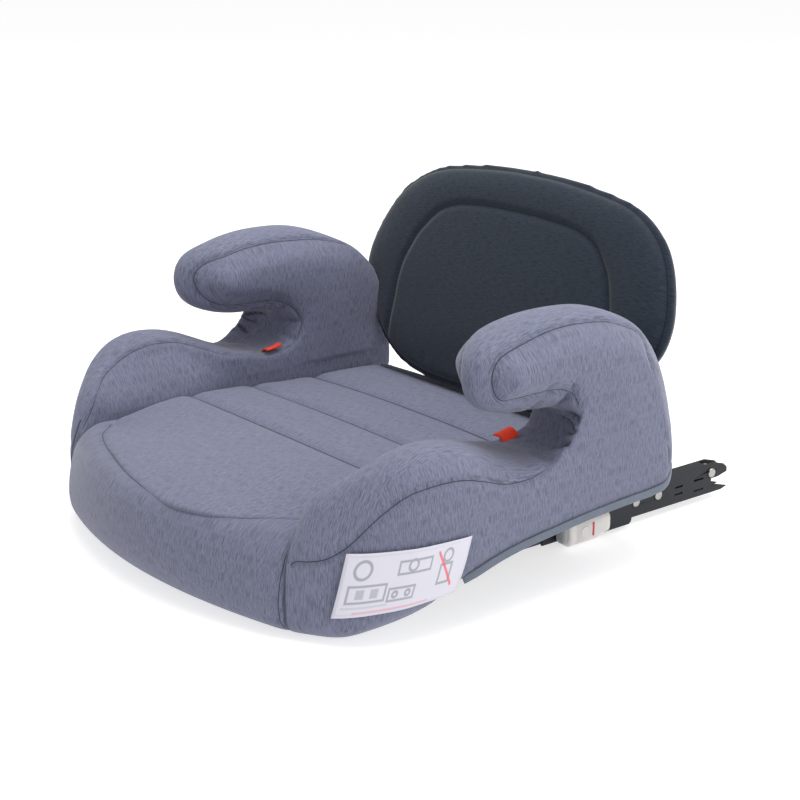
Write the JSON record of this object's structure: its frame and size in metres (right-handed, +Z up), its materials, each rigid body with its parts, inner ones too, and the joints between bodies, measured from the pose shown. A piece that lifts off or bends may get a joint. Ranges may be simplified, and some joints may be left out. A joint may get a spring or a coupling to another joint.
{
  "type": "booster seat",
  "caption": "Low child booster seat with padded armrests, a hinged padded backrest and sliding rigid anchor connectors.",
  "frame": {"origin": "on the ground under the seat, on the plane of symmetry, on the flat underside of the base tray", "axes": "+X to the side that carries the label, -Y towards the front edge where the child's legs hang, +Z up"},
  "size_m": [0.4401, 0.496, 0.2672],
  "materials": {
    "moulded_charcoal": "fine-grained moulded plastic",
    "zinc_screw": "zinc plated",
    "rivet_steel": "bright domed rivet",
    "foam": "open-cell foam",
    "heather_fabric": "heather knit, grey-lavender",
    "binding_tape": "satin binding tape",
    "red_webbing": "dyed webbing",
    "label_cloth": "printed satin, pictograms only",
    "painted_steel": "black-blue powder coat",
    "latch_steel": "plain steel",
    "trigger_yellow": "moulded plastic",
    "housing_white": "satin moulded plastic",
    "button_grey": "satin moulded plastic",
    "indicator_red": "gloss",
    "spring_steel": "spring wire",
    "dark_fabric": "dark heather knit",
    "board_plastic": "moulded plastic"
  },
  "bodies": {
    "base": {"base_tray": "moulded_charcoal", "seat_pan": "moulded_charcoal", "tray_screws": "zinc_screw", "armrest_screws": "zinc_screw", "seat_foam": "foam", "seat_pad": "heather_fabric", "front_panel": "heather_fabric", "rear_binding": "binding_tape", "side_label": "label_cloth", "cam_pin": "zinc_screw", "cam_brackets": "moulded_charcoal", "spring_post": "moulded_charcoal", "armrest_frame_left": "moulded_charcoal", "armrest_frame_right": "moulded_charcoal", "armrest_cover_left": "heather_fabric", "armrest_cover_right": "heather_fabric", "hem_binding_left": "binding_tape", "hem_binding_right": "binding_tape", "belt_tab_left": "red_webbing", "belt_tab_right": "red_webbing", "guide_sleeve_left": "painted_steel", "guide_sleeve_right": "painted_steel", "guide_rail_left": "moulded_charcoal", "guide_rail_right": "moulded_charcoal", "hinge_bracket_left": "moulded_charcoal", "hinge_bracket_right": "moulded_charcoal", "hinge_pin_left": "zinc_screw", "hinge_pin_right": "zinc_screw"},
    "connectors": {"cross_tube": "painted_steel", "lock_strip": "painted_steel", "connector_bar_left": "painted_steel", "connector_bar_right": "painted_steel", "connector_rivets_left": "rivet_steel", "connector_rivets_right": "rivet_steel", "hook_pin_left": "rivet_steel", "hook_pin_right": "rivet_steel", "release_housing_left": "housing_white", "release_housing_right": "housing_white", "slide_bar_left": "painted_steel", "slide_bar_right": "painted_steel"},
    "backrest": {"backrest_board": "board_plastic", "backrest_pad": "dark_fabric", "backrest_rear_cover": "dark_fabric"},
    "adjuster": {"adjuster_handle": "button_grey", "handle_spring": "spring_steel"},
    "cam": {"lock_cam": "latch_steel"},
    "hook_left": {"latch_hook_left": "latch_steel"},
    "trigger_left": {"latch_trigger_left": "trigger_yellow"},
    "indicator_left": {"indicator_flag_left": "indicator_red"},
    "button_left": {"release_button_left": "button_grey", "pull_rod_left": "latch_steel", "button_spring_left": "spring_steel"},
    "hook_right": {"latch_hook_right": "latch_steel"},
    "trigger_right": {"latch_trigger_right": "trigger_yellow"},
    "indicator_right": {"indicator_flag_right": "indicator_red"},
    "button_right": {"release_button_right": "button_grey", "pull_rod_right": "latch_steel", "button_spring_right": "spring_steel"}
  },
  "joints": [
    {"name": "connector_slide", "type": "slide", "parent": "base", "child": "connectors", "axis": [0, -1, 0], "range_m": [0, 0.07]},
    {"name": "backrest_fold", "type": "hinge", "parent": "base", "child": "backrest", "pos_m": [0, 0.2139, 0.06565], "axis": [-1, 0, 0], "range_deg": [0, 30]},
    {"name": "handle_pull", "type": "slide", "parent": "base", "child": "adjuster", "axis": [0, -1, 0], "range_m": [0, 0.008], "stiffness_N_per_m": 600, "springref_m": -0.004, "deforming": ["handle_spring"]},
    {"name": "cam_turn", "type": "hinge", "parent": "base", "child": "cam", "pos_m": [0, -0.01, 0.03], "axis": [-1, 0, 0], "range_deg": [0, 30]},
    {"name": "hook_turn_left", "type": "hinge", "parent": "connectors", "child": "hook_left", "pos_m": [-0.14, 0.332, 0.024], "axis": [-1, 0, 0], "range_deg": [0, 42]},
    {"name": "trigger_push_left", "type": "slide", "parent": "connectors", "child": "trigger_left", "axis": [0, -1, 0], "range_m": [0, 0.006]},
    {"name": "indicator_shift_left", "type": "slide", "parent": "connectors", "child": "indicator_left", "axis": [0, 1, 0], "range_m": [0, 0.005]},
    {"name": "button_press_left", "type": "slide", "parent": "connectors", "child": "button_left", "axis": [0, 1, 0], "range_m": [0, 0.005], "stiffness_N_per_m": 800, "springref_m": -0.002, "deforming": ["button_spring_left"]},
    {"name": "hook_turn_right", "type": "hinge", "parent": "connectors", "child": "hook_right", "pos_m": [0.14, 0.332, 0.024], "axis": [-1, 0, 0], "range_deg": [0, 42]},
    {"name": "trigger_push_right", "type": "slide", "parent": "connectors", "child": "trigger_right", "axis": [0, -1, 0], "range_m": [0, 0.006]},
    {"name": "indicator_shift_right", "type": "slide", "parent": "connectors", "child": "indicator_right", "axis": [0, 1, 0], "range_m": [0, 0.005]},
    {"name": "button_press_right", "type": "slide", "parent": "connectors", "child": "button_right", "axis": [0, 1, 0], "range_m": [0, 0.005], "stiffness_N_per_m": 800, "springref_m": -0.002, "deforming": ["button_spring_right"]}
  ],
  "couplings": [
    {"joint": "cam_turn", "follows": "handle_pull", "rad_per_m": 62.5},
    {"joint": "trigger_push_left", "follows": "hook_turn_left", "m_per_rad": 0.008185},
    {"joint": "indicator_shift_left", "follows": "hook_turn_left", "m_per_rad": 0.006821},
    {"joint": "trigger_push_right", "follows": "hook_turn_right", "m_per_rad": 0.008185},
    {"joint": "indicator_shift_right", "follows": "hook_turn_right", "m_per_rad": 0.006821}
  ]
}
